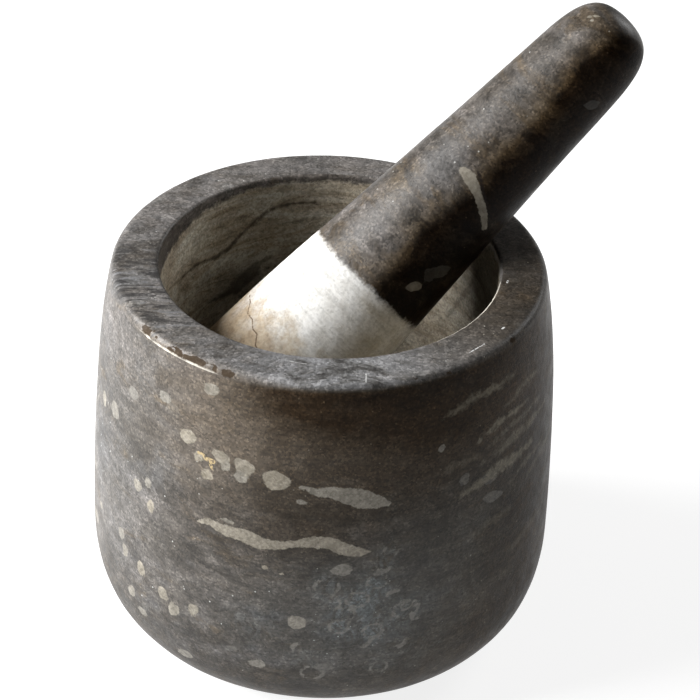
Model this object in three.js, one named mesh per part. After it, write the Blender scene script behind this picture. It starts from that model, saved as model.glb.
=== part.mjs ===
// Stone mortar and pestle, in millimetres, +Z up, with the underside of the mortar on z = 0.
//
// The mortar is one turned block: a barrel-sided cup on a flat ground base, with a broad flat rim
// and a steep-sided, round-bottomed bowl. The pestle is one tapered stone rod with a blunt top and
// a wide domed grinding end. It is loose, and leans in the bowl with its shaft over the rim edge.
import * as THREE from "three";

// Mortar, outside
const mortarHeight = 96;
const rimRadius = 50;
const bellyRadius = 55.7;
const bellyHeight = 25.2;
const baseRadius = 29.8;
const rimOuterRound = 1.8;

// Mortar, bowl
const mouthRadius = 39.3;
const rimInnerRound = 1;
const bowlDepth = 74;
const bowlFloorRadius = 38.2;
const bowlFloorRise = 36;

// Pestle, with heights measured along it from the tip of the grinding end
const pestleLength = 143;
const grindingRadius = 18;
const grindingRise = 21;
const topRadius = 11.6;
const topRise = 16;

// How the pestle rests
const leanDirection = THREE.MathUtils.degToRad(24.7);
const leanFromVertical = THREE.MathUtils.degToRad(48.2);
const lengthAboveRim = 57.8;

// Roundness
const mortarSegments = 80;
const pestleSegments = 56;

// A closed body of revolution about +Z from its outline in radius and height. The outline runs
// from the axis, up the outside and back to the axis.
function revolve(outline, segments) {
  const geometry = new THREE.LatheGeometry(outline.getPoints(10), segments);
  return geometry.rotateX(Math.PI / 2);
}

// The mortar's outline: the base, a rounded foot, the barrel side, the rim and the bowl.
function mortarOutline() {
  const rimStart = mortarHeight - rimOuterRound;
  const wallEnd = mortarHeight - bowlDepth + bowlFloorRise;
  const outline = new THREE.Path();
  outline.moveTo(0, 0);
  outline.lineTo(baseRadius, 0);
  outline.bezierCurveTo(46.4, 0, bellyRadius, 5.3, bellyRadius, bellyHeight);
  outline.bezierCurveTo(bellyRadius, 26.9, 55.3, 72.6, rimRadius + 0.4, rimStart);
  outline.quadraticCurveTo(rimRadius, mortarHeight, rimRadius - rimOuterRound, mortarHeight);
  outline.lineTo(mouthRadius + rimInnerRound, mortarHeight);
  outline.quadraticCurveTo(mouthRadius, mortarHeight, mouthRadius, mortarHeight - rimInnerRound);
  outline.lineTo(bowlFloorRadius, wallEnd);
  outline.absellipse(0, wallEnd, bowlFloorRadius, bowlFloorRise, 0, -Math.PI / 2, true);
  return outline;
}

// The pestle's outline: the domed grinding end, the tapering shaft and the blunt top.
function pestleOutline() {
  const shaftTop = pestleLength - topRise;
  const outline = new THREE.Path();
  outline.moveTo(0, 0);
  outline.bezierCurveTo(10.8, 0, grindingRadius, 9, grindingRadius, grindingRise);
  outline.bezierCurveTo(grindingRadius, 40, 14.2, 77, topRadius, shaftTop);
  outline.bezierCurveTo(topRadius - 0.7, shaftTop + 12.5, 8.2, pestleLength, 0, pestleLength);
  return outline;
}

// The radius of an outline at a height, between the two points on either side of it.
function radiusAt(outline, height) {
  const points = outline.getPoints(40);
  const above = points.findIndex((point) => point.y > height);
  const low = points[above - 1];
  const high = points[above];
  return THREE.MathUtils.mapLinear(height, low.y, high.y, low.x, high.x);
}

function stone(colour, roughness) {
  return new THREE.MeshStandardMaterial({ color: colour, roughness, metalness: 0 });
}

const mortar = new THREE.Mesh(revolve(mortarOutline(), mortarSegments), stone(0x4b4743, 0.45));
mortar.name = "mortar";

const pestle = new THREE.Mesh(revolve(pestleOutline(), pestleSegments), stone(0x57504a, 0.5));
pestle.name = "pestle";

// Where the shaft crosses the rim, its axis stands off the bowl's mouth by the shaft's radius there.
// The mouth is rounded over, which leaves a third of a millimetre between the two. The tip lies
// back down the axis from the crossing.
const crossing = pestleLength - lengthAboveRim;
const standOff = radiusAt(pestleOutline(), crossing);
const leanSin = Math.sin(leanFromVertical);
const leanCos = Math.cos(leanFromVertical);
const tipOutward = mouthRadius - standOff * leanCos - crossing * leanSin;
const tipHeight = mortarHeight + standOff * leanSin - crossing * leanCos;
pestle.position.set(
  tipOutward * Math.cos(leanDirection),
  tipOutward * Math.sin(leanDirection),
  tipHeight,
);
pestle.rotation.set(0, leanFromVertical, leanDirection, "ZYX");

const group = new THREE.Group();
group.name = "mortar_and_pestle";
group.add(mortar, pestle);

export default group;
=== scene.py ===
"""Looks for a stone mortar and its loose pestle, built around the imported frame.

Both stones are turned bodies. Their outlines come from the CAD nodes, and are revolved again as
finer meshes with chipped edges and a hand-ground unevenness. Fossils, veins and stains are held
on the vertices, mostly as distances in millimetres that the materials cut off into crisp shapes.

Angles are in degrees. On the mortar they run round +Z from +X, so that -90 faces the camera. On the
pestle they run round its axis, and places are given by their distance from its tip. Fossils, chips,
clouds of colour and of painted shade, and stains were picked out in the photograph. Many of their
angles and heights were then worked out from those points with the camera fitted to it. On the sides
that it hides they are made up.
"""
import math
import random
import bpy
import numpy as np
from mathutils import Matrix, Vector, noise


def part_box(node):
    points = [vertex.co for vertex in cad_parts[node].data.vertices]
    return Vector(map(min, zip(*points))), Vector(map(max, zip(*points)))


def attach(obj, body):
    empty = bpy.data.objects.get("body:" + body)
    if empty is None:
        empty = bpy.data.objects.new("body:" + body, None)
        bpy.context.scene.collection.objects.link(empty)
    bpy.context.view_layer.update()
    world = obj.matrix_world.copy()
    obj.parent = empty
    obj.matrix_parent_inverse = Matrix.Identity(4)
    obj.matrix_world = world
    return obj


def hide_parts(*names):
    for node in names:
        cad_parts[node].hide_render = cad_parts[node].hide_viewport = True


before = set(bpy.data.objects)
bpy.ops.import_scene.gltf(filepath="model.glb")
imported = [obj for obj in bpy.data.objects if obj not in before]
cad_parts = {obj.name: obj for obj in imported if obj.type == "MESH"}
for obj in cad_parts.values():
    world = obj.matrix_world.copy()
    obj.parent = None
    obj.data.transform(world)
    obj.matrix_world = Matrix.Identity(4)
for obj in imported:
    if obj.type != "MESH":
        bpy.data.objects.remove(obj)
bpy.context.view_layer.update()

MM = 0.001
UP = np.array([0.0, 0.0, 1.0])
SCENE = bpy.context.scene
MORTAR_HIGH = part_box("mortar")[1]
RIM_HEIGHT = MORTAR_HIGH.z
BELLY_RADIUS = MORTAR_HIGH.x
# the rim's outer and inner edges, as shares of the widest radius
RIM_RADIUS = 0.898 * BELLY_RADIUS
MOUTH_RADIUS = 0.7056 * BELLY_RADIUS


# ---- outlines and meshes

def node_points(name):
    """A CAD node's vertices, one row each, in metres."""
    return np.array([vertex.co[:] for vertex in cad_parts[name].data.vertices])


def outline_points(name, start, axis):
    """The corners of a turned node's outline, from the start on, each as radius and distance along the axis.

    They are the vertices that lie on one half plane through the axis, followed from edge to edge.
    """
    step = 0.01 * MM
    points = node_points(name)
    along = (points - start) @ axis
    spokes = points - start - along[:, None] * axis
    radius = np.linalg.norm(spokes, axis=1)
    widest = spokes[np.argmax(radius)] / radius.max()
    on_axis = radius < 2 * step
    # the factor leaves room for rounding
    on_cut = on_axis | (spokes @ widest > radius * 0.9999)
    places = np.round(np.stack([radius, along], 1) / step).astype(int)
    neighbours = {}
    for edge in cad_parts[name].data.edges:
        a, b = edge.vertices
        if on_cut[a] and on_cut[b]:
            a, b = tuple(places[a]), tuple(places[b])
            if a != b:
                neighbours.setdefault(a, set()).add(b)
                neighbours.setdefault(b, set()).add(a)
    chain = [min(neighbours, key=lambda place: place[0] + abs(place[1]))]
    while True:
        onward = [place for place in neighbours[chain[-1]] if place not in chain]
        if not onward:
            return np.array(chain) * step
        chain.append(onward[0])


def resample(points, spacing_at):
    """A smooth curve through the points, sampled at the spacing that spacing_at gives for each of them.

    The curve is a cubic Hermite spline whose slopes come from each point's neighbours.
    """
    steps = 4000
    gaps = np.hypot(*np.diff(points, axis=0).T)
    run = np.concatenate([[0], np.cumsum(gaps)])
    slope = np.gradient(points, run, axis=0)
    fine = np.linspace(0, run[-1], steps)
    density = 1 / np.interp(fine, run, [spacing_at(*p) for p in points])
    count = np.concatenate([[0], np.cumsum((density[1:] + density[:-1]) / 2 * np.diff(fine))])
    at = np.interp(np.linspace(0, count[-1], int(math.ceil(count[-1])) + 1), count, fine)
    k = np.clip(np.searchsorted(run, at) - 1, 0, len(gaps) - 1)
    gap = gaps[k][:, None]
    t = ((at - run[k]) / gaps[k])[:, None]
    a, b = points[k], points[k + 1]
    return ((2 * t**3 - 3 * t**2 + 1) * a + (t**3 - 2 * t**2 + t) * gap * slope[k]
            + (3 * t**2 - 2 * t**3) * b + (t**3 - t**2) * gap * slope[k + 1])


class Turned:
    """A turned body as a grid of points: one row for each ring, one column for each angle."""

    def __init__(self, outline, degrees, start, axis, side):
        """outline has radius and distance from start in metres. side is the direction of angle 0.

        degrees lists the columns' angles, in order. radius and along are kept in mm.
        """
        rings = outline[1:-1]
        self.ends = [start + axis * outline[0, 1], start + axis * outline[-1, 1]]
        self.degrees = degrees
        self.axis = axis
        self.side = side
        turn = np.radians(degrees)[:, None]
        spoke = np.cos(turn) * side + np.sin(turn) * np.cross(axis, side)
        self.radius = rings[:, :1] / MM
        self.along = rings[:, 1:] / MM
        self.points = start + rings[:, 1, None, None] * axis + rings[:, 0, None, None] * spoke
        slope = np.gradient(outline, axis=0)[1:-1]
        slope /= np.linalg.norm(slope, axis=1)[:, None]
        self.normals = slope[:, 1, None, None] * spoke[None] - slope[:, 0, None, None] * axis

    def away(self, angle):
        """How far each column is from an angle, in degrees from -180 to 180."""
        return ((self.degrees - angle + 180) % 360 - 180)[None, :]

    def facing(self, angle):
        """How much each point faces the way of an angle, from -1 to 1."""
        turn = math.radians(angle)
        towards = math.cos(turn) * self.side + math.sin(turn) * np.cross(self.axis, self.side)
        return self.normals @ towards

    def sector(self, angle, wide, power=2):
        """1 at an angle and 0 far from it, with steeper flanks for a higher even power."""
        return np.exp(-(self.away(angle) / wide) ** power)

    def blobs(self, *spots):
        """Soft round patches, each given as angle, place along the axis in mm, two widths and strength."""
        total = np.zeros(self.points.shape[:2])
        for angle, along, wide, tall, strength in spots:
            squares = (self.away(angle) / wide) ** 2 + ((self.along - along) / tall) ** 2
            total += strength * np.exp(-squares)
        return total

    def push(self, amount):
        """Moves each point along its normal by amount, in mm."""
        self.points = self.points + self.normals * amount[..., None] * MM

    def build(self, name, material, **layers):
        """The mesh object. Each layer is one number for each point, kept as a vertex attribute."""
        rows, columns = self.points.shape[:2]
        corners = np.concatenate([self.points.reshape(-1, 3), self.ends])
        index = np.arange(rows * columns).reshape(rows, columns)
        after = np.roll(index, -1, 1)
        quads = np.stack([index[:-1], after[:-1], after[1:], index[1:]], -1).reshape(-1, 4)
        low, high = rows * columns, rows * columns + 1
        fans = [(low, int(b), int(a)) for a, b in zip(index[0], after[0])]
        fans += [(high, int(a), int(b)) for a, b in zip(index[-1], after[-1])]
        mesh = bpy.data.meshes.new(name)
        mesh.from_pydata(corners.tolist(), [], quads.tolist() + fans)
        for layer, values in layers.items():
            values = values + np.zeros((rows, columns))
            data = np.concatenate([values.ravel(), [values[0].mean(), values[-1].mean()]])
            attribute = mesh.attributes.new(layer, "FLOAT", "POINT")
            attribute.data.foreach_set("value", data.astype(np.float32))
        mesh.validate()
        mesh.shade_smooth()
        mesh.materials.append(material)
        piece = bpy.data.objects.new(name, mesh)
        SCENE.collection.objects.link(piece)
        return piece


def field(points, size, seed, octaves):
    """Smooth noise from about -1 to 1 at the points, with lumps of about the given size."""
    shift = Vector((seed * 13.7, seed * 7.3, seed * 3.1))
    values = [noise.fractal(Vector(p) + shift, 1.0, 2.0, octaves) for p in points.reshape(-1, 3) / size]
    return np.array(values).reshape(points.shape[:-1])


def smooth(low, high, values):
    """0 below low, 1 above high, and an even ramp with soft ends between."""
    t = np.clip((values - low) / (high - low), 0, 1)
    return t * t * (3 - 2 * t)


# ---- fossils and veins

class Marks:
    """Shapes cut open at a turned surface.

    For each point it keeps how far inside a shape the point lies, in mm, and the tone of that shape.
    Points further than FAR from every shape all count as FAR outside.
    """

    FAR = 4.0

    def __init__(self, turned):
        self.turned = turned
        self.flat = turned.points.reshape(-1, 3) / MM
        self.out = turned.normals.reshape(-1, 3)
        self.depth = np.full(len(self.flat), -self.FAR)
        self.tone = np.full(len(self.flat), 0.5)

    def nearest(self, angle, along, rows):
        """The grid point nearest to an angle and a place along the axis, among the given rows."""
        row = rows[np.argmin(np.abs(self.turned.along[rows, 0] - along))]
        return row * len(self.turned.degrees) + int(np.argmin(np.abs(self.turned.away(angle))))

    def axes(self, k):
        """The directions round the body, along its outline and out of it at a grid point."""
        columns = len(self.turned.degrees)
        out = self.out[k]
        up = self.flat[k + columns] - self.flat[k - columns]
        up = up - out * (up @ out)
        up /= np.linalg.norm(up)
        return np.cross(up, out), up, out

    def add(self, k, reach, shape, tone):
        """Adds a shape of the given reach round grid point k.

        shape gives the distance inside its edge for places across and up from there. Only points that
        face roughly the same way take part, so that a shape doesn't show through to the other side.
        """
        across, up, out = self.axes(k)
        offset = self.flat - self.flat[k]
        faces_same_way = self.out @ out > 0.25
        near = np.where((np.abs(offset).max(1) < reach + self.FAR) & faces_same_way)[0]
        offset = offset[near]
        inside = shape(offset @ across, offset @ up)
        better = inside > self.depth[near]
        self.depth[near[better]] = inside[better]
        self.tone[near[better]] = tone

    def spot(self, angle, along, rows, radius, wide, tone, turn):
        """Adds a round or oval stem plate, with a slightly lumpy outline."""
        c, s = math.cos(turn), math.sin(turn)

        def plate(x, y):
            a, b = (x * c + y * s) / wide, (y * c - x * s) * wide
            around = np.arctan2(b, a)
            lumps = 1 + 0.05 * np.cos(3 * around + angle) + 0.03 * np.cos(5 * around + along)
            return radius * lumps - np.hypot(a, b)
        self.add(self.nearest(angle, along, rows), radius * 2, plate, tone)

    def ring(self, angle, along, rows, radius, wall, tone):
        """Adds a stem plate with an open middle, a little flattened."""
        self.add(self.nearest(angle, along, rows), radius * 2,
                 lambda x, y: wall / 2 - np.abs(np.hypot(x, y * 1.2) - radius), tone)

    def crescent(self, angle, along, rows, radius, tone, turn):
        """Adds part of a shell: a disc with another bitten out of it."""
        dx, dy = 0.6 * radius * math.cos(turn), 0.6 * radius * math.sin(turn)

        def shell(x, y):
            return np.minimum(radius - np.hypot(x, y), np.hypot(x - dx, y - dy) - radius)
        self.add(self.nearest(angle, along, rows), radius * 2, shell, tone)

    def path(self, stations, rows, tone):
        """Adds a long stem or vein through stations of angle, place along the axis and half width in mm."""
        places = [self.nearest(angle, along, rows) for angle, along, _ in stations]
        k = places[len(places) // 2]
        across, up, out = self.axes(k)
        offsets = self.flat[places] - self.flat[k]
        local = list(zip(offsets @ across, offsets @ up, [half for *_, half in stations]))

        def stem(x, y):
            best = np.full(len(x), -np.inf)
            for (xa, ya, ra), (xb, yb, rb) in zip(local, local[1:]):
                dx, dy = xb - xa, yb - ya
                t = np.clip(((x - xa) * dx + (y - ya) * dy) / (dx * dx + dy * dy + 1e-9), 0, 1)
                best = np.maximum(best, ra + (rb - ra) * t - np.hypot(x - xa - t * dx, y - ya - t * dy))
            return best
        self.add(k, np.abs(offsets).max(), stem, tone)

    def layers(self):
        """Depth and tone for each grid point, as layers for Turned.build."""
        shape = self.turned.points.shape[:2]
        return self.depth.reshape(shape), self.tone.reshape(shape)


# ---- materials

class Paint:
    """A node material under construction. Colours are linear, and lengths are in metres.

    Noise values mostly lie between 0.3 and 0.7, which is where most ramps below have their stops.
    """

    def __init__(self, name, turn=(0, 0, 0)):
        """turn is the rotation that lays the stone's own bedding on the z axis."""
        self.material = bpy.data.materials.new(name)
        self.material.use_nodes = True
        self.tree = self.material.node_tree
        self.shader = self.tree.nodes["Principled BSDF"]
        self.here = self.node("TexCoord").outputs["Object"]
        self.place = self.node("Mapping", Vector=self.here, Rotation=turn).outputs[0]

    def node(self, kind, settings=None, **inputs):
        """A new shader node. Inputs are given by name, or as i0, i1 and so on by their place."""
        made = self.tree.nodes.new("ShaderNode" + kind)
        for key, value in (settings or {}).items():
            setattr(made, key, value)
        for key, value in inputs.items():
            self.plug(made.inputs[int(key[1:]) if key[1:].isdigit() else key.replace("_", " ")], value)
        return made

    def plug(self, socket, value):
        """Links an output to a socket, or sets the socket's own value."""
        if isinstance(value, bpy.types.NodeSocket):
            self.tree.links.new(value, socket)
        elif isinstance(value, tuple) and len(value) == 3 and len(socket.default_value) == 4:
            socket.default_value = (*value, 1)
        else:
            socket.default_value = value

    def layer(self, name):
        """A layer kept on the vertices."""
        return self.node("Attribute", {"attribute_name": name}).outputs["Fac"]

    def stretch(self, scale, shift=(0, 0, 0), turn=(0, 0, 0)):
        """The place, scaled: a high scale on one axis flattens what is drawn along it."""
        return self.node("Mapping", Vector=self.place, Scale=scale, Location=shift, Rotation=turn).outputs[0]

    def noise(self, size, detail, rough, twist=0.0, place=None):
        """Noise with lumps of about the given size."""
        return self.node("TexNoise", Vector=place or self.place, Scale=1 / size, Detail=detail,
                         Roughness=rough, Distortion=twist).outputs["Fac"]

    def cells(self, size, what="Distance", place=None):
        """Crystals of about the given size: the distance from each one's middle, or its random Color."""
        made = self.node("TexVoronoi", Vector=place or self.place, Scale=1 / size).outputs[what]
        return self.node("SeparateColor", i0=made).outputs[0] if what == "Color" else made

    def math(self, what, a, b=0.0, clamp=False):
        return self.node("Math", {"operation": what, "use_clamp": clamp}, i0=a, i1=b).outputs[0]

    def both(self, a, b):
        """The product of two shares."""
        return self.math("MULTIPLY", a, b)

    def vector(self, what, a, b, output):
        return self.node("VectorMath", {"operation": what}, i0=a, i1=b).outputs[output]

    def between(self, value, low, high, a=0.0, b=1.0):
        """a where value is under low, b where it is over high, with a soft ramp between."""
        return self.node("MapRange", {"interpolation_type": "SMOOTHSTEP"}, Value=value, From_Min=low,
                         From_Max=high, To_Min=a, To_Max=b).outputs[0]

    def ramp(self, value, *stops):
        """A colour for value from (place, colour) stops."""
        made = self.node("ValToRGB", i0=value)
        elements = made.color_ramp.elements
        while len(elements) < len(stops):
            elements.new(0.5)
        for element, (place, colour) in zip(elements, stops):
            element.position = place
            element.color = (*colour, 1)
        return made.outputs[0]

    def mix(self, share, a, b):
        """a where share is 0, b where it is 1."""
        return self.node("MixRGB", i0=share, i1=a, i2=b).outputs[0]

    def times(self, colour, value, *stops):
        """The colour multiplied by a grey or a tint for value, from (place, grey or tint) stops."""
        tints = [(place, tone if isinstance(tone, tuple) else (tone,) * 3) for place, tone in stops]
        tint = self.ramp(value, *tints)
        return self.node("MixRGB", {"blend_type": "MULTIPLY"}, i0=1.0, i1=colour, i2=tint).outputs[0]

    def ragged(self, layer, size, reach, soft):
        """1 inside a layer's shapes and 0 outside. The edge wanders by reach and fades over soft, in mm."""
        wander = self.between(self.noise(size, 4, 0.65), 0.25, 0.75, -reach, reach)
        return self.between(self.math("ADD", self.layer(layer), wander), -soft, soft)

    def scratch(self, a, b, half):
        """1 within half of the straight line from a to b, all in metres."""
        run = b - a
        from_a = self.vector("SUBTRACT", self.here, tuple(a), "Vector")
        lying = self.vector("DOT_PRODUCT", from_a, tuple(run), "Value")
        share = self.math("DIVIDE", lying, run.length_squared, clamp=True)
        foot = self.node("VectorMath", {"operation": "SCALE"}, i0=tuple(run), Scale=share).outputs[0]
        gap = self.vector("DISTANCE", from_a, foot, "Value")
        return self.between(gap, 0.6 * half, half, 1, 0)

    def bump(self, height, strength, depth, under=None):
        """A normal with fine relief of the given depth, on top of another one if given."""
        made = self.node("Bump", Height=height, Strength=strength, Distance=depth)
        if under is not None:
            self.plug(made.inputs["Normal"], under)
        return made.outputs[0]

    def finish(self, colour, crystal, mottle, polish, matt, shine):
        """The material. polish is the roughness of polished stone, from and to, and matt is added to it."""
        rough = self.math("ADD", self.between(mottle, 0.3, 0.7, *polish), matt, clamp=True)
        normal = self.bump(mottle, 0.30, 0.5 * MM, self.bump(crystal, 0.30, 0.12 * MM))
        for socket, value in (("Base Color", colour), ("Roughness", rough), ("Normal", normal),
                              ("Specular IOR Level", shine)):
            self.plug(self.shader.inputs[socket], value)
        return self.material


# how much lighter or darker single crystals of the stone are
GRAIN = ((0.0, 0.58), (0.30, 0.86), (0.78, 1.12), (0.96, 1.60))
CRYSTAL = 0.48 * MM
FAINT_FOSSIL = 8.5 * MM
GLINT = 2.7 * MM


def oiled_stone(paint, warm):
    """Honed and oiled limestone, as its colour and the crystal and mottle patterns that the rest reuses.

    It has clouds, bedding, faint fossils, crystals and glints. warm is the share of olive brown.
    """
    clouds = paint.noise(0.034, 5, 0.6, 0.6, paint.stretch((1, 1, 2.4)))
    colour = paint.ramp(clouds, (0.30, (0.046, 0.039, 0.032)), (0.45, (0.074, 0.065, 0.056)),
                        (0.58, (0.096, 0.086, 0.078)), (0.76, (0.126, 0.115, 0.107)))
    blue = paint.noise(0.024, 4, 0.6, 0.5, paint.stretch((1, 1, 1.8), (0.3, 0.1, 0.7)))
    colour = paint.mix(paint.between(blue, 0.52, 0.66, 0, 0.40), colour, (0.074, 0.077, 0.082))
    brown = paint.noise(0.015, 5, 0.65, 0.6, paint.stretch((1, 1, 2.2), (0.8, 0.4, 0.2)))
    colour = paint.mix(paint.between(brown, 0.60 - 0.12 * warm, 0.72 - 0.12 * warm, 0, 0.65),
                       colour, (0.082, 0.060, 0.036))
    bed = paint.noise(0.020, 5, 0.65, 0.8, paint.stretch((1, 1, 7), (0.1, 0.9, 0.5)))
    colour = paint.times(colour, bed, (0.34, 0.70), (0.50, 1.0), (0.70, 1.14))
    smudge = paint.noise(0.0090, 5, 0.7, 0.8, paint.stretch((1, 1, 1.7), (0.6, 0.2, 0.9)))
    colour = paint.times(colour, smudge, (0.36, (0.58, 0.56, 0.53)), (0.50, 1.0),
                         (0.62, (1.22, 1.22, 1.24)))

    lying = paint.stretch((1, 1, 1.15), (0.05, 0.02, 0.01))
    faint = paint.cells(FAINT_FOSSIL, place=lying)
    which = paint.cells(FAINT_FOSSIL, "Color", place=lying)
    reach = paint.between(which, 0.45, 1.0, -0.05, 0.26)
    wander = paint.between(paint.noise(0.0012, 3, 0.6), 0.2, 0.8, -0.05, 0.05)
    inside = paint.math("SUBTRACT", paint.math("ADD", reach, wander), faint)
    colour = paint.mix(paint.between(inside, -0.015, 0.03, 0, 0.38), colour, (0.150, 0.145, 0.135))

    mottle = paint.noise(0.0035, 4, 0.7)
    colour = paint.times(colour, mottle, (0.30, 0.66), (0.50, 1.0), (0.70, 1.36))
    crystal = paint.cells(CRYSTAL, "Color")
    colour = paint.times(colour, crystal, *GRAIN)
    glint = paint.both(paint.between(paint.cells(GLINT), 0.060, 0.085, 1, 0),
                       paint.between(paint.cells(GLINT, "Color"), 0.50, 0.60))
    return paint.mix(glint, colour, (0.42, 0.42, 0.40)), crystal, mottle


def fossil_colour(paint):
    """Beige crystalline calcite, from dull grey to pale by the fossil's tone."""
    body = paint.noise(0.0016, 4, 0.65, 0.5)
    pale = paint.ramp(body, (0.30, (0.135, 0.118, 0.088)), (0.55, (0.225, 0.200, 0.157)),
                      (0.75, (0.285, 0.260, 0.212)))
    dull = paint.ramp(body, (0.30, (0.100, 0.100, 0.096)), (0.70, (0.185, 0.182, 0.172)))
    return paint.mix(paint.layer("fossil_tone"), dull, pale)


def mortar_stone_colour(paint, crystal, mottle, colour):
    """Brown, ghostly and blue-green patches, the rim's grey with painted sheen and shadow, lathe marks,
    painted shade in dark clouds and rim strokes.
    """
    brown = paint.mix(mottle, (0.075, 0.055, 0.036), (0.120, 0.096, 0.068))
    colour = paint.mix(paint.both(paint.layer("warm"), 0.75), colour,
                       paint.times(brown, crystal, *GRAIN))
    swirl = paint.noise(0.0050, 6, 0.68, 2.2, paint.stretch((1, 1, 0.8), (0.3, 0.5, 0.2)))
    ghost = paint.both(paint.layer("ghost"), paint.between(swirl, 0.43, 0.56))
    grey = paint.mix(mottle, (0.088, 0.092, 0.091), (0.150, 0.155, 0.154))
    colour = paint.mix(ghost, colour, paint.times(grey, crystal, *GRAIN))
    colour = paint.mix(paint.both(paint.layer("cool"), 0.7), colour,
                       paint.times(colour, mottle, (0.0, (0.80, 0.92, 0.98)), (1.0, (0.84, 0.96, 1.04))))

    smear = paint.noise(0.0110, 6, 0.72, 1.2, paint.stretch((0.7, 1.8, 1), (0.2, 0.8, 0.4)))
    # the rim's grey, mixed in by a layer that also carries painted sheen at the front and painted shadow at
    # the right
    worn = paint.ramp(smear, (0.38, (0.042, 0.040, 0.038)), (0.47, (0.124, 0.122, 0.120)),
                      (0.55, (0.200, 0.202, 0.209)), (0.65, (0.310, 0.316, 0.332)))
    worn = paint.times(worn, mottle, (0.3, 0.80), (0.5, 1.0), (0.7, 1.18))
    colour = paint.mix(paint.layer("worn"), colour, paint.times(worn, crystal, *GRAIN))
    turning = paint.noise(0.020, 4, 0.65, 0.1, paint.stretch((1, 1, 26), (0.4, 0.3, 0.1)))
    colour = paint.times(colour, turning, (0.38, 0.84), (0.50, 1.0), (0.60, 1.08))
    # painted shade: the shade layer, made patchy by the smear noise, darkens the stone and browns it
    mottled_shade = paint.math("ADD", paint.layer("shade"), paint.between(smear, 0.35, 0.65, -0.16, 0.16))
    colour = paint.times(colour, mottled_shade, (0.0, 1.0), (0.5, (0.50, 0.45, 0.38)), (1.0, (0.26, 0.19, 0.12)))

    hatch = paint.noise(0.017, 5, 0.66, 1.3, paint.stretch((1, 6, 1), turn=(0, 0, 0.28)))
    dark = paint.both(paint.between(hatch, 0.50, 0.60), paint.layer("hatch"))
    colour = paint.mix(paint.both(dark, 0.80), colour, (0.022, 0.021, 0.021))
    chalk = paint.both(paint.between(hatch, 0.46, 0.36), paint.layer("hatch"))
    return paint.mix(paint.both(chalk, 0.55), colour, (0.165, 0.168, 0.176))


def mortar_marks_colour(paint, crystal, mottle, colour, chipped):
    """Fossils, olive wisps and chips, over the stone outside and on the rim."""
    strength = paint.between(paint.layer("fossil_tone"), 0.05, 0.6, 0.25, 1)
    share = paint.both(paint.ragged("fossil", 0.0017, 0.30, 0.17), strength)
    calcite = paint.times(fossil_colour(paint), crystal, (0, 0.78), (0.5, 1.0), (0.97, 1.2))
    colour = paint.mix(share, colour, calcite)
    streak = paint.both(paint.ragged("streak", 0.0022, 0.85, 0.8), paint.layer("streak_tone"))
    colour = paint.mix(streak, colour, paint.mix(crystal, (0.090, 0.080, 0.058), (0.170, 0.152, 0.116)))
    return paint.mix(paint.both(chipped, 0.80), colour,
                     paint.mix(mottle, (0.022, 0.015, 0.010), (0.060, 0.043, 0.028)))


def bowl_colour(paint, crystal, mottle):
    """Raw stone in the bowl: pale brown beds, dimmed where the gloom layer says, which on the right is
    painted shadow.
    """
    beds = paint.noise(0.020, 5, 0.65, 1.6, paint.stretch((0.8, 0.8, 3.4), (0.2, 0, 0.4)))
    wall = paint.ramp(beds, (0.30, (0.140, 0.105, 0.068)), (0.42, (0.290, 0.245, 0.180)),
                      (0.56, (0.400, 0.360, 0.285)), (0.72, (0.500, 0.480, 0.410)))
    wall = paint.times(wall, mottle, (0.3, 0.72), (0.5, 1.0), (0.7, 1.15))
    wall = paint.times(wall, crystal, (0.0, 0.70), (0.5, 1.0), (0.97, 1.30))
    return paint.times(wall, paint.layer("gloom"), (0.0, 1.0), (1.0, 0.22))


def mortar_material(scratches):
    """Oiled stone outside and on the rim, and raw stone in the bowl.

    Each scratch is two ends, half its width and its colour, and lies over everything else.
    """
    paint = Paint("mortar_limestone")
    colour, crystal, mottle = oiled_stone(paint, 0.25)
    chipped = paint.ragged("chip", 0.0011, 0.22, 0.12)
    colour = mortar_stone_colour(paint, crystal, mottle, colour)
    colour = mortar_marks_colour(paint, crystal, mottle, colour, chipped)

    raw = paint.ragged("raw", 0.0022, 0.7, 0.7)
    colour = paint.mix(raw, colour, bowl_colour(paint, crystal, mottle))
    vein = paint.both(paint.ragged("vein", 0.0016, 0.35, 0.45), paint.layer("vein_tone"))
    colour = paint.mix(vein, colour, (0.030, 0.021, 0.013))
    # painted highlights: pale lines along the rim's edges
    colour = paint.mix(paint.ragged("wear", 0.0030, 0.07, 0.08), colour, (0.50, 0.47, 0.41))
    crumbs = paint.between(paint.noise(0.0007, 3, 0.7), 0.40, 0.52)
    for a, b, half, tint in scratches:
        colour = paint.mix(paint.both(paint.scratch(a, b, half), crumbs), colour, tint)

    matt = paint.both(paint.math("MAXIMUM", raw, chipped), 0.35)
    # less reflection where shade is painted, and in the chips
    shine = paint.both(paint.between(paint.layer("shade"), 0, 0.9, 0.32, 0.06),
                       paint.between(chipped, 0, 1, 1, 0.05))
    return paint.finish(colour, crystal, mottle, (0.36, 0.48), matt, shine)


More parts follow.
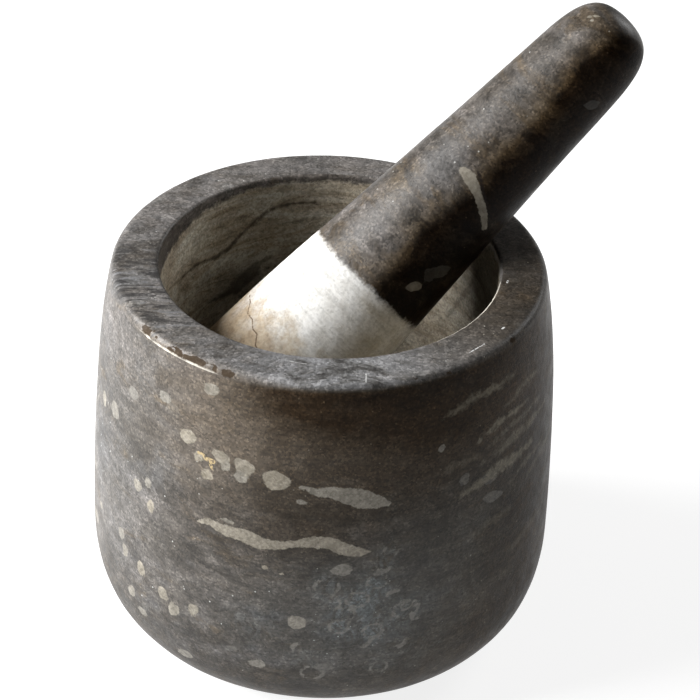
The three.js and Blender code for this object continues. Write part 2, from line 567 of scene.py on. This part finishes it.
def ground_end_colour(paint, crystal, cracks):
    """The pestle's pale ground end, with lathe marks, dirt, the tan stain and its crack."""
    body = paint.noise(0.0035, 5, 0.65)
    pale = paint.ramp(body, (0.30, (0.450, 0.437, 0.408)), (0.50, (0.560, 0.551, 0.527)),
                      (0.72, (0.640, 0.635, 0.620)))
    turned = paint.noise(0.0110, 4, 0.6, 0.2, paint.stretch((1, 1, 14), (0.3, 0.1, 0.2)))
    pale = paint.times(pale, turned, (0.36, 0.85), (0.50, 1.0), (0.62, 1.04))
    patch = paint.between(paint.noise(0.006, 4, 0.65), 0.3, 0.7, -0.30, 0.30)
    dirt = paint.between(paint.math("ADD", paint.layer("dirt"), patch), 0.15, 0.95)
    dirty = paint.ramp(body, (0.3, (0.350, 0.320, 0.268)), (0.7, (0.580, 0.550, 0.484)))
    pale = paint.mix(dirt, pale, dirty)
    tan = paint.between(paint.math("ADD", paint.layer("stain"), patch), 0.05, 1.05)
    stained = paint.ramp(body, (0.3, (0.220, 0.155, 0.095)), (0.7, (0.420, 0.345, 0.245)))
    pale = paint.mix(tan, pale, stained)
    pale = paint.times(pale, crystal, (0.0, 0.84), (0.4, 0.98), (0.97, 1.08))
    crumbs = paint.between(paint.noise(0.0010, 3, 0.7), 0.34, 0.52)
    for a, b, half, tint in cracks:
        pale = paint.mix(paint.both(paint.scratch(a, b, half), crumbs), pale, tint)
    return pale


def pestle_material(turn, cracks):
    """Oiled stone on the shaft and raw stone on the grinding end, with a brushed change between them."""
    paint = Paint("pestle_limestone", turn)
    colour, crystal, mottle = oiled_stone(paint, 0.9)
    blotch = paint.noise(0.012, 5, 0.68, 1.0, paint.stretch((1, 1, 1.3), (0.5, 0.1, 0.3)))
    umber = paint.both(paint.layer("warm"), paint.between(blotch, 0.60, 0.42))
    brown = paint.mix(mottle, (0.090, 0.066, 0.040), (0.190, 0.150, 0.105))
    colour = paint.mix(umber, colour, paint.times(brown, crystal, *GRAIN))
    # painted shade: the shade layer, made patchy by the blotch noise, darkens the shaft
    mottled_shade = paint.math("ADD", paint.layer("shade"), paint.between(blotch, 0.36, 0.64, -0.20, 0.20))
    colour = paint.times(colour, mottled_shade, (0.0, 0.82), (0.5, (0.38, 0.33, 0.26)), (1.0, (0.10, 0.07, 0.045)))
    share = paint.both(paint.ragged("fossil", 0.0009, 0.22, 0.14),
                       paint.between(paint.layer("fossil_tone"), 0, 0.5, 0.18, 1))
    colour = paint.mix(share, colour, fossil_colour(paint))
    colour = paint.mix(paint.ragged("vein", 0.0010, 0.15, 0.20), colour, (0.016, 0.012, 0.010))

    brush = paint.between(paint.noise(0.0013, 5, 0.75), 0.25, 0.75, -0.55, 0.55)
    raw = paint.between(paint.math("ADD", paint.layer("raw"), brush), -1.1, 0.8)
    colour = paint.mix(raw, colour, ground_end_colour(paint, crystal, cracks))

    # less reflection where shade is painted
    shine = paint.between(paint.layer("shade"), 0, 0.9, 0.32, 0.05)
    return paint.finish(colour, crystal, mottle, (0.38, 0.50), paint.both(raw, 0.4), shine)


# ---- the mortar's mesh

FRONT_COLUMNS = 270
BACK_COLUMNS = 140


def mortar_spacing(radius, height):
    """The distance wanted between rings: close at the rim, wide under the base and in the bowl."""
    if height > RIM_HEIGHT - 3 * MM and radius > MOUTH_RADIUS - 1 * MM:
        return 0.42 * MM
    if height < 1 * MM:
        return 3 * MM
    bowl = radius < MOUTH_RADIUS and height > 20 * MM
    return 1.7 * MM if bowl else 0.95 * MM


def from_edge(radius, height):
    """How far each point of the mortar is from a circle round its axis, all in mm."""
    return np.hypot(mortar.radius - radius, mortar.along - height)


mortar_columns = np.concatenate([np.linspace(-180, 0, FRONT_COLUMNS, endpoint=False),
                                 np.linspace(0, 180, BACK_COLUMNS, endpoint=False)])
mortar = Turned(resample(outline_points("mortar", np.zeros(3), UP), mortar_spacing), mortar_columns,
                np.zeros(3), UP, np.array([1.0, 0.0, 0.0]))

# the rim's height, its outer edge and its inner edge, in mm
rim_top = RIM_HEIGHT / MM
rim_out = RIM_RADIUS / MM
rim_in = MOUTH_RADIUS / MM
top_row = int(np.argmax(mortar.along[:, 0]))
outer_rows = np.array([r for r in range(top_row) if mortar.along[r, 0] > 1.5])
inner_rows = np.array([r for r in range(top_row, len(mortar.along)) if mortar.along[r, 0] < rim_top - 1])
inside = (np.arange(len(mortar.along)) > top_row)[:, None] & (mortar.radius < rim_in + 0.6)
on_rim = smooth(rim_top - 2.5, rim_top - 0.5, mortar.along)

# how far each point is from the circles round the rim that the painted edge highlights and the chips follow
low_edge = from_edge(rim_out + 0.4, rim_top - 1.7)
bevel = from_edge(rim_out + 0.1, rim_top - 1.0)
corner = from_edge(rim_out - 0.5, rim_top - 0.5)
mouth = from_edge(rim_in + 0.3, rim_top - 0.3)
round_rim = np.stack(np.broadcast_arrays(np.radians(mortar.degrees) * 20, mortar.radius, mortar.along), -1)

# chips in the outer edge: angle, half width in degrees, depth from 0 to 1
DENTS = [
    (-142.5, 1.8, 0.8), (-138.5, 0.7, 0.5), (-131, 2.7, 0.9), (-124.5, 2.9, 0.9), (-118.5, 0.9, 0.6),
    (-114.6, 1.9, 0.6), (-58, 1.0, 0.4), (-35, 1.2, 0.5), (40, 1.8, 0.7), (95, 1.3, 0.6), (150, 2.0, 0.7)]
chips = sum(deep * mortar.sector(angle, wide, 4) for angle, wide, deep in DENTS)
chips = chips * np.exp(-(bevel / 0.85) ** 2) * (0.8 + 0.8 * field(round_rim, 1.0, 3, 3))
crumbled = smooth(0.25, 0.6, field(round_rim, 1.5, 9, 2)) * np.exp(-corner ** 2)
chips = np.clip(chips + crumbled * 0.25, 0, 1)
nicks = smooth(0.25, 0.60, field(round_rim, 1.2, 4, 2)) * np.exp(-(mouth / 0.9) ** 2)
lumps = field(mortar.points, 28 * MM, 1, 2) * 0.14 + field(mortar.points, 7 * MM, 2, 2) * 0.025
lumps = lumps * smooth(0.0, 1.5, mortar.along) * (1 - 0.8 * on_rim)
mortar.push(lumps - 0.15 * chips - 0.10 * nicks)
# it stands flat on the floor
mortar.points[..., 2] = np.maximum(mortar.points[..., 2], 0.0)


# ---- the mortar's tones

def outside(values):
    """The values outside and on the rim, and 0 in the bowl."""
    return np.where(inside, 0.0, values)


# The patches are angle, height, two widths (degrees and mm) and strength.
# Painted shade: the stone is darkened under the rim at the front, along the right, in two places at the
# back, and low down.
shade = mortar.blobs(
    (-80, 94, 25, 12, 1.0), (-50, 91, 28, 13, 0.9), (-64, 70, 24, 14, 0.45), (-14, 78, 26, 26, 0.6),
    (-98, 94, 12, 8, 0.4), (-94, 62, 20, 16, 0.50), (-44, 40, 32, 28, 0.45), (-12, 40, 30, 36, 0.75),
    (120, 80, 30, 14, 0.6), (60, 50, 34, 18, 0.5))
shade = outside(shade * (1 - on_rim))
# more painted shade low down all round, and painted shadow of the pestle on the rim at the right
shade += 0.60 * smooth(34, 6, mortar.along) + on_rim * outside(0.50 * mortar.sector(-12, 42))
shade = np.clip(shade, 0, 1)

# brown stone
warm = outside(mortar.blobs(
    (-112, 84, 24, 20, 1.0), (-70, 78, 26, 14, 0.8), (-28, 80, 24, 24, 0.5), (-45, 30, 26, 14, 0.5),
    (60, 70, 40, 16, 0.8), (150, 40, 40, 14, 0.6)))
warm = np.clip(warm * (1 - on_rim), 0, 1)
# blue-green stone
cool = outside(mortar.blobs(
    (-76, 32, 34, 26, 1.0), (-50, 56, 20, 20, 0.8), (-150, 50, 20, 40, 0.5), (100, 36, 40, 24, 0.8)))
cool = np.clip(cool, 0, 1)
# faint swirls of broken shell
ghost = outside(mortar.blobs(
    (-73.5, 53, 2.4, 4.5, 0.8), (-76, 45, 3.4, 5, 0.95), (-80, 40, 4.0, 4.5, 0.9), (-68.5, 36, 4.2, 5, 0.9),
    (-77, 31, 4.4, 4.5, 0.95), (-84.5, 34, 4.0, 5, 0.75), (-88, 45, 3.6, 5, 0.6), (-92, 23, 5, 3, 0.6),
    (-75, 20, 6, 3, 0.55), (-104, 32, 7, 5, 0.35), (-63, 24, 6, 5, 0.4), (-73, 66, 2.4, 6, 0.4),
    (30, 34, 6, 6, 0.8), (44, 40, 5, 5, 0.7), (120, 30, 7, 6, 0.8), (134, 24, 5, 5, 0.6),
    (78, 60, 5, 5, 0.5)))
ghost = np.clip(ghost, 0, 1)
# darker in the bowl at the back and the left, near the folds of its bedding, and on the right under the
# shaft
gloom = mortar.blobs(
    (125, 69, 14, 6, 0.7), (150, 50, 40, 10, 0.7), (105, 52, 40, 12, 0.6), (98, 90, 24, 8, 0.35),
    # painted shadow of the pestle on the right wall under the shaft
    (14, 80, 48, 26, 0.95))
gloom = np.clip(np.where(inside, gloom, 0.0), 0, 1)

# the rim is rubbed to grey, except on the brown bevel at the front left
# painted sheen makes the grey strongest at the front, and painted shadow of the pestle weakens it at the
# right
worn = on_rim * outside(0.26 + 0.72 * mortar.sector(-86, 30) - 0.14 * mortar.sector(-15, 40))
brown_bevel = np.exp(-(bevel / 1.3) ** 2 - (mortar.away(-127) / 24) ** 4)
worn = worn * (1 - 0.85 * brown_bevel)
warm = np.maximum(warm, brown_bevel)
# dark strokes across the rim on the left
hatch = on_rim * outside(mortar.sector(-158, 30, 4))
# painted highlights: thin pale lines at the front left outer edge and the front right mouth, as distances in
# mm
wear = np.maximum(0.22 - low_edge - (np.abs(mortar.away(-131)) / 27) ** 4,
                  0.24 - mouth - (np.abs(mortar.away(-32)) / 34) ** 6)
wear = np.clip(wear, -4, 4)
# the deeper chips, above 0 where they show; they are coloured dark brown and made matt
chip_depth = np.where(inside, -1.0, 1.6 * (chips - 0.27))
# raw stone starts below an oiled band at the mouth, which is wider on the left
band = 1.9 + 4.3 * mortar.sector(172, 28)
raw_wall = np.where(inside, np.clip(rim_top - band - mortar.along, -5, 5), -5.0)


# ---- the mortar's fossils and veins

# stem plates on the front: angle, height, radius, width over height, and paleness
PLATES = [
    (-144, 79, 1.7, 1.2, 0.35), (-132, 83, 1.6, 1.2, 0.45), (-119, 90, 1.7, 1.2, 0.7),
    (-124, 77, 2.0, 1.1, 0.9), (-121, 73, 1.4, 1.1, 1.0), (-115, 75, 1.9, 1.2, 0.9),
    (-113.5, 73, 1.3, 1.0, 0.7), (-118, 69.5, 1.5, 1.0, 1.0), (-109, 74, 2.2, 1.1, 0.9),
    (-109.5, 71, 1.5, 1.1, 0.6), (-101, 72, 2.8, 1.15, 0.95), (-140, 56, 1.6, 1.0, 0.6),
    (-136, 59, 1.3, 1.0, 0.5), (-135, 53, 1.5, 0.8, 0.9), (-147, 38, 1.6, 0.9, 0.5),
    (-145, 34, 1.5, 0.9, 0.6), (-138, 33, 1.7, 0.85, 0.9), (-142, 24, 1.6, 1.0, 0.6),
    (-138, 20, 1.5, 1.1, 0.5), (-130, 30, 1.7, 0.9, 0.8), (-127, 27, 1.8, 0.9, 0.7),
    (-121, 30, 1.6, 0.95, 0.8), (-124, 14, 1.8, 1.3, 0.5), (-104, 20, 1.7, 1.3, 0.45),
    (-95, 34, 2.1, 1.1, 0.6), (-85, 49, 2.0, 1.2, 0.4), (-95, 67, 0.9, 1.6, 0.5),
    (-54, 67, 1.5, 1.0, 0.2), (-45, 59, 2.2, 1.5, 0.2), (-61, 78, 0.9, 1.0, 0.4),
    (-103, 48.5, 0.8, 1.3, 1.0), (-99, 47.5, 0.5, 2.0, 0.9), (-46, 64, 2.0, 1.3, 0.1),
    (-111, 23, 1.3, 1.6, 0.2), (-88, 21, 1.6, 1.4, 0.2), (-92, 39, 0.7, 2.2, 0.2)]
# long sections of stem, as stations of angle, height and half width, with their paleness
STEMS = [
    ([(-94.5, 71.0, 0.4), (-91, 70.4, 1.1), (-87.5, 70.0, 1.4), (-84, 68.9, 2.1), (-80.5, 68.0, 2.5),
      (-77.5, 67.0, 1.9), (-74, 66.6, 0.5)], 0.6),
    ([(-120, 55.6, 0.2), (-116.5, 56.7, 0.9), (-112, 56.3, 1.5), (-108, 55.5, 1.8), (-104, 54.8, 1.7),
      (-100, 54.7, 1.1), (-96, 55.8, 0.9), (-92, 56.5, 1.5), (-88, 56.4, 1.7), (-84, 55.3, 1.6),
      (-80.5, 54.4, 1.2), (-78, 53.9, 0.3)], 0.85),
    ([(-114, 58.6, 0.3), (-112.5, 59.0, 0.7), (-111, 58.5, 0.3)], 0.6)]
# faint open plates: angle, height, radius and wall
RINGS = [
    (-69, 36, 3.1, 0.9), (-76.5, 31.5, 2.3, 0.8), (-80.5, 41, 2.5, 0.8), (-76, 45, 2.4, 0.7),
    (-84.5, 33.5, 2.2, 0.8), (-88, 44, 2.8, 0.6), (-91, 19, 2.6, 0.8), (-68.5, 36.5, 1.4, 0.7),
    (-75, 20, 2.0, 0.6), (-73.5, 53, 1.8, 0.6)]
# faint bits of shell: angle, height, radius and the way they open, in radians
CRESCENTS = [
    (-66, 34, 2.0, 0.8), (-79, 28.5, 2.0, 2.4), (-82.5, 37, 1.8, 4.0), (-72, 41, 1.9, 5.2),
    (-75, 49, 1.8, 1.6), (-86, 40, 2.0, 3.2), (-94, 26, 1.9, 5.6), (-70, 26, 1.7, 2.0)]
# fuzzy olive wisps along the bedding: both ends' angles, height, half width and strength
WISPS = [
    (-60, -36, 86.3, 1.0, 0.60), (-50, -31, 77.4, 0.8, 0.80), (-55, -28, 64.8, 1.6, 0.70),
    (-49, -20, 70.5, 1.1, 0.55), (-62, -50, 72.0, 0.8, 0.30), (-40, -25, 82.0, 0.7, 0.50),
    (-46, -24, 74.2, 0.6, 0.50), (-38, -22, 61.0, 0.7, 0.45), (-52, -38, 52.0, 1.2, 0.25),
    (-30, -12, 58.0, 1.2, 0.35), (-38, -18, 40.0, 0.9, 0.25), (20, 48, 74.0, 1.2, 0.5),
    (70, 92, 62.0, 1.0, 0.4), (110, 150, 80.0, 1.0, 0.5), (30, 60, 44.0, 0.9, 0.4),
    (160, 185, 52.0, 1.1, 0.4), (85, 120, 36.0, 0.8, 0.4)]
# how pale the rings and the crescents are
RING_TONE = 0.30
CRESCENT_TONE = 0.34
# bedding lines in the bowl, as stations of angle, height and half width, with how dark they are
BEDDING_LINES = [
    ([(156, 79.5, 0.3), (145, 79.1, 0.45), (135, 78.4, 0.5), (130, 79.5, 0.6), (125, 81.9, 0.55),
      (119, 84.8, 0.4), (112, 87.4, 0.35), (105, 88.4, 0.3), (96, 88.6, 0.35), (94.5, 87.2, 0.3),
      (90, 85.5, 0.3)], 0.85),
    ([(140, 66.5, 0.2), (133, 66.8, 0.7), (126, 67.2, 1.0), (119, 69.6, 0.7), (113, 71, 0.2)], 0.8),
    ([(131, 67.6, 0.3), (124, 69.6, 1.6), (118, 72.0, 1.2), (112, 74, 0.2)], 0.6),
    ([(108, 83.0, 0.1), (101, 82.8, 0.5), (96, 84.0, 0.3)], 0.5),
    ([(99, 80, 0.2), (92, 79.5, 0.5), (85, 81, 0.2)], 0.5),
    ([(24, 84, 0.3), (31, 76, 0.8), (40, 66, 0.6)], 0.45),
    ([(14, 82, 0.2), (22, 74, 0.5), (27, 70, 0.2)], 0.4),
    ([(-100, 75, 0.2), (-60, 72, 0.5), (-20, 70, 0.2)], 0.7),
    ([(-150, 66, 0.2), (-120, 64, 0.6), (-90, 67, 0.2)], 0.6)]


def scatter_fossils(fossils, count, seed):
    """Fossils of all kinds on the sides that the photograph hides, mostly in two bands."""
    dice = random.Random(seed)
    for _ in range(count):
        angle = dice.uniform(-12, 208)
        up = dice.choice([dice.gauss(71, 5), dice.gauss(30, 8), dice.uniform(10, 88)])
        size = dice.uniform(0.9, 2.3)
        tone = dice.uniform(0.1, 1.0)
        kind = dice.random()
        if kind < 0.6:
            wide = dice.uniform(0.9, 1.4)
            fossils.spot(angle, min(up, 90), outer_rows, size, wide, tone, dice.uniform(-0.5, 0.5))
        elif kind < 0.72:
            fossils.ring(angle, min(up, 88), outer_rows, size * 1.3, 0.9, tone * 0.5)
        elif kind < 0.85:
            fossils.crescent(angle, min(up, 88), outer_rows, size * 1.5, tone, dice.uniform(0, 6))
        else:
            reach = dice.uniform(3, 11)
            middle_up = up + dice.uniform(-1, 1)
            end_up = up + dice.uniform(-1, 1)
            stations = [(angle - reach, up, size * 0.2), (angle, middle_up, size * 0.7),
                        (angle + reach, end_up, size * 0.3)]
            fossils.path(stations, outer_rows, tone)


fossils = Marks(mortar)
for angle, up, radius, wide, tone in PLATES:
    fossils.spot(angle, up, outer_rows, radius, wide, tone, 0.3 * math.sin(angle))
for stations, tone in STEMS:
    fossils.path(stations, outer_rows, tone)
for angle, up, radius, wall in RINGS:
    fossils.ring(angle, up, outer_rows, radius, wall, RING_TONE)
for angle, up, radius, turn in CRESCENTS:
    fossils.crescent(angle, up, outer_rows, radius, CRESCENT_TONE, turn)
scatter_fossils(fossils, count=120, seed=7)
fossil, fossil_tone = fossils.layers()

wisps = Marks(mortar)
for start, end, up, half, tone in WISPS:
    thickest = start * 0.6 + end * 0.4
    wisps.path([(start, up - 1.2, half * 0.3), (thickest, up + 0.3, half), (end, up + 0.4, half * 0.4)],
               outer_rows, tone)
streak, streak_tone = wisps.layers()

veins = Marks(mortar)
for stations, tone in BEDDING_LINES:
    veins.path(stations, inner_rows, tone)
vein, vein_tone = veins.layers()


# ---- the mortar's piece

CHALK = (0.50, 0.50, 0.49)
DARK = (0.020, 0.018, 0.016)
GOLD = (0.38, 0.29, 0.15)


def rim_place(angle, radius):
    """A point on the flat of the rim, from its angle and its radius in mm."""
    turn = math.radians(angle)
    return Vector((radius * MM * math.cos(turn), radius * MM * math.sin(turn), RIM_HEIGHT))


def wall_place(angle, height):
    """The point of the mortar's outside at an angle and a height in mm."""
    return Vector(fossils.flat[fossils.nearest(angle, height, outer_rows)]) * MM


# chalky scratches on the rim, a dark crack in the wall and specks of golden mineral
scratches = [
    (rim_place(-101.5, 42.3), rim_place(-95.5, 42.7), 0.15 * MM, CHALK),
    (rim_place(-99, 43.7), rim_place(-93, 44.0), 0.10 * MM, CHALK),
    (rim_place(-79.2, 46.0), rim_place(-79.8, 49.0), 0.17 * MM, CHALK),
    (rim_place(-9.5, 41.2), rim_place(-8.5, 41.3), 0.30 * MM, CHALK),
    (rim_place(-34, 46.6), rim_place(-33, 46.6), 0.28 * MM, CHALK),
    (rim_place(-49, 47.4), rim_place(-43, 47.2), 0.18 * MM, CHALK),
    (wall_place(-129, 81.5), wall_place(-122, 79.5), 0.13 * MM, DARK),
    (wall_place(-122, 79.5), wall_place(-116.5, 77.2), 0.13 * MM, DARK),
    (wall_place(-120.6, 74.3), wall_place(-119.9, 74.0), 0.45 * MM, GOLD),
    (wall_place(-119.2, 73.4), wall_place(-118.5, 73.3), 0.50 * MM, GOLD),
    (wall_place(-117.8, 72.9), wall_place(-116.9, 72.6), 0.75 * MM, GOLD),
    (wall_place(-117.2, 71.6), wall_place(-116.6, 71.3), 0.50 * MM, GOLD),
]
mortar_piece = mortar.build(
    "mortar_stone", mortar_material(scratches), fossil=fossil, fossil_tone=fossil_tone, raw=raw_wall,
    vein=vein, vein_tone=vein_tone, streak=streak, streak_tone=streak_tone, shade=shade, warm=warm,
    cool=cool, ghost=ghost, worn=worn, gloom=gloom, hatch=hatch, wear=wear, chip=chip_depth)
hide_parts("mortar")
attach(mortar_piece, "mortar")


# ---- the pestle's mesh and tones

PESTLE_COLUMNS = 250
PESTLE_SPACING = 0.65 * MM

# the pestle's axis is the way its vertices are spread the most, turned to point up
pestle_points = node_points("pestle")
middle = pestle_points.mean(0)
spread, directions = np.linalg.eigh(np.cov((pestle_points - middle).T))
pestle_axis = directions[:, np.argmax(spread)]
pestle_axis *= np.sign(pestle_axis[2])
reaches = (pestle_points - middle) @ pestle_axis
pestle_tip = middle + pestle_axis * reaches.min()
pestle_length = (reaches.max() - reaches.min()) / MM
# the polish stops at this share of its length
polish_line = 0.406 * pestle_length
pestle_side = np.cross(pestle_axis, UP)
pestle_side /= np.linalg.norm(pestle_side)
pestle = Turned(resample(outline_points("pestle", pestle_tip, pestle_axis), lambda *place: PESTLE_SPACING),
                np.linspace(0, 360, PESTLE_COLUMNS, endpoint=False), pestle_tip, pestle_axis, pestle_side)
every_row = np.arange(1, len(pestle.along) - 1)
pestle.push(field(pestle.points, 22 * MM, 5, 2) * 0.11 + field(pestle.points, 6 * MM, 6, 2) * 0.03)

# the ground end, as a distance in mm from the wavy line where the polish stops, and what dulls it
raw_end = np.clip(polish_line - pestle.along + field(pestle.points, 14 * MM, 8, 2) * 0.5, -6, 6)
stain = np.clip(smooth(47, 24, pestle.along) + pestle.blobs((262, 35, 34, 6, 0.30)), 0, 1)
dirt = pestle.blobs((352, 38, 30, 11, 0.30), (315, 33, 30, 8, 0.55), (20, 48, 30, 12, 0.6),
                    (120, 30, 60, 20, 0.7), (340, 55.5, 16, 1.6, 0.7))
dirt = np.clip(dirt + smooth(44, 24, pestle.along), 0, 1)
# painted shade on the side that faces down and to the right, strongest near the cap, with patches on the
# shaft
dark_side = pestle.facing(8)
pestle_shade = pestle.blobs((325, 122, 18, 10, 0.30), (318, 100, 14, 6, 0.30), (326, 76, 16, 8, 0.35))
pestle_shade += smooth(0.62, 0.93, dark_side)
pestle_shade += 0.6 * smooth(0.2, 0.8, dark_side) * smooth(116, 130, pestle.along)
pestle_shade = np.clip(pestle_shade, 0, 1)
pestle_warm = pestle.blobs((331, 104, 15, 22, 0.9), (326, 70, 16, 12, 0.8), (318, 128, 18, 12, 0.8),
                           (270, 84, 20, 10, 0.5), (130, 90, 50, 30, 0.6))
pestle_warm = np.clip(pestle_warm, 0, 1)


# ---- the pestle's fossils and piece

# a long curved section of stem, as stations of angle, place and half width
SHAFT_STEM = [(313, 92.3, 1.1), (319, 92.2, 1.4), (327, 91.8, 1.3), (337, 90.9, 1.1), (347, 89.9, 1.0),
              (357, 88.4, 0.9), (8, 86.4, 0.7)]
# the dark line along its upper edge
SHAFT_VEIN = [(316, 94.9, 0.15), (325, 94.0, 0.35), (337, 92.4, 0.4), (348, 90.8, 0.35), (0, 89.6, 0.2)]
# stem plates: angle, place, radius, width over height, and paleness
SHAFT_PLATES = [
    (354, 66, 1.6, 1.3, 0.50), (4, 72.5, 2.1, 1.3, 0.12), (358, 70, 1.8, 1.0, 0.08),
    (3, 123.5, 1.5, 1.3, 0.05), (283, 138, 0.55, 1.6, 0.9), (279, 136.5, 0.4, 1.3, 0.8),
    (287, 137, 0.4, 1.2, 0.7), (40, 100, 1.2, 1.2, 0.3)]
# the crack in the tan stain, as angle and place
CRACK = [(248, 36.8), (259, 35.8), (268, 34.4), (277, 34.3), (283, 32.6), (289, 32.9), (295, 30.8),
         (303, 30.0)]
CRACK_HALF_WIDTH = 0.21 * MM
UMBER = (0.130, 0.088, 0.055)


def head_place(angle, along):
    """The point of the pestle's surface at an angle and a distance from its tip in mm."""
    return Vector(shaft_fossils.flat[shaft_fossils.nearest(angle, along, every_row)]) * MM


def scatter_plates(fossils, count, seed):
    """Stem plates on the side of the shaft that the photograph hides."""
    dice = random.Random(seed)
    for _ in range(count):
        angle = dice.uniform(62, 224)
        along = dice.uniform(polish_line + 4, pestle_length - 6)
        size = dice.uniform(0.7, 1.9)
        wide = dice.uniform(0.9, 1.6)
        tone = dice.uniform(0.1, 0.9)
        fossils.spot(angle, along, every_row, size, wide, tone, dice.uniform(-1, 1))


shaft_fossils = Marks(pestle)
shaft_fossils.path(SHAFT_STEM, every_row, 0.8)
for angle, along, radius, wide, tone in SHAFT_PLATES:
    shaft_fossils.spot(angle, along, every_row, radius, wide, tone, 0.7)
scatter_plates(shaft_fossils, count=34, seed=11)
fossil, fossil_tone = shaft_fossils.layers()
shaft_veins = Marks(pestle)
shaft_veins.path(SHAFT_VEIN, every_row, 1)
shaft_vein, _ = shaft_veins.layers()

cracks = [(head_place(*a), head_place(*b), CRACK_HALF_WIDTH, UMBER) for a, b in zip(CRACK, CRACK[1:])]
turn_upright = Vector(pestle_axis).rotation_difference(Vector(UP)).to_euler()
pestle_piece = pestle.build(
    "pestle_stone", pestle_material(tuple(turn_upright), cracks), fossil=fossil, fossil_tone=fossil_tone,
    raw=raw_end, vein=shaft_vein, shade=pestle_shade, warm=pestle_warm, dirt=dirt, stain=stain)
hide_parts("pestle")
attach(pestle_piece, "pestle")


# ---- studio

def studio_floor():
    """A pale sheet, lit a little from below like a light table."""
    bpy.ops.mesh.primitive_plane_add(size=6, location=(0, 0, -0.2 * MM))
    floor = bpy.context.object
    floor.name = "studio_floor"
    paint = Paint("studio_floor")
    for socket, value in (("Base Color", (0.32, 0.32, 0.32, 1)), ("Roughness", 0.9),
                          ("Specular IOR Level", 0.05), ("Emission Color", (1, 1, 1, 1)),
                          ("Emission Strength", 0.84)):
        paint.shader.inputs[socket].default_value = value
    floor.data.materials.append(paint.material)


# what the soft boxes face
MIDDLE = Vector((0, 0, 0.07))


def soft_light(name, azimuth, elevation, distance, size, power):
    """A square soft box that faces the middle of the object. Azimuth is measured from +X towards +Y."""
    lamp = bpy.data.lights.new(name, "AREA")
    lamp.shape = "SQUARE"
    lamp.size = size
    lamp.energy = power
    box = bpy.data.objects.new(name, lamp)
    SCENE.collection.objects.link(box)
    a, e = math.radians(azimuth), math.radians(elevation)
    away = Vector((math.cos(a) * math.cos(e), math.sin(a) * math.cos(e), math.sin(e)))
    box.location = MIDDLE + away * distance
    box.rotation_euler = away.to_track_quat("Z", "Y").to_euler()


def studio_world(darkest, low, high):
    """A pale room that is unlit on one side: low towards the direction called darkest, high away from it."""
    world = bpy.data.worlds.new("studio")
    SCENE.world = world
    world.use_nodes = True
    tree = world.node_tree
    where = tree.nodes.new("ShaderNodeTexCoord")
    dot = tree.nodes.new("ShaderNodeVectorMath")
    dot.operation = "DOT_PRODUCT"
    dot.inputs[1].default_value = Vector(darkest).normalized()
    level = tree.nodes.new("ShaderNodeMapRange")
    level.interpolation_type = "SMOOTHSTEP"
    for socket, value in (("From Min", -0.5), ("From Max", 0.45), ("To Min", high), ("To Max", low)):
        level.inputs[socket].default_value = value
    tree.links.new(where.outputs["Generated"], dot.inputs[0])
    tree.links.new(dot.outputs["Value"], level.inputs["Value"])
    tree.links.new(level.outputs[0], tree.nodes["Background"].inputs["Strength"])


def camera():
    """Looks down at the rim's centre from the front, then turns a little right and down, and rolls."""
    elevation, distance, turn, tip, roll = 32.1, 0.525, -0.59, -2.24, 2.12
    lens = bpy.data.cameras.new("camera")
    lens.sensor_width = 36
    lens.lens = 117
    lens.clip_start = 0.01
    view = bpy.data.objects.new("camera", lens)
    SCENE.collection.objects.link(view)
    e = math.radians(elevation)
    stand = Vector((0, -math.cos(e), math.sin(e))) * distance + Vector((0, 0, RIM_HEIGHT))
    view.matrix_world = (Matrix.Translation(stand)
                         @ Matrix.Rotation(math.radians(90 - elevation), 4, "X")
                         @ Matrix.Rotation(math.radians(turn), 4, "Y")
                         @ Matrix.Rotation(math.radians(tip), 4, "X")
                         @ Matrix.Rotation(math.radians(roll), 4, "Z"))
    SCENE.camera = view


studio_floor()
studio_world(darkest=(0.50, -0.82, -0.22), low=0.03, high=0.85)
soft_light("key", azimuth=184, elevation=30, distance=0.75, size=0.5, power=19.5)
soft_light("edge", azimuth=38, elevation=26, distance=0.9, size=0.4, power=3.0)
camera()
SCENE.view_settings.view_transform = "Standard"
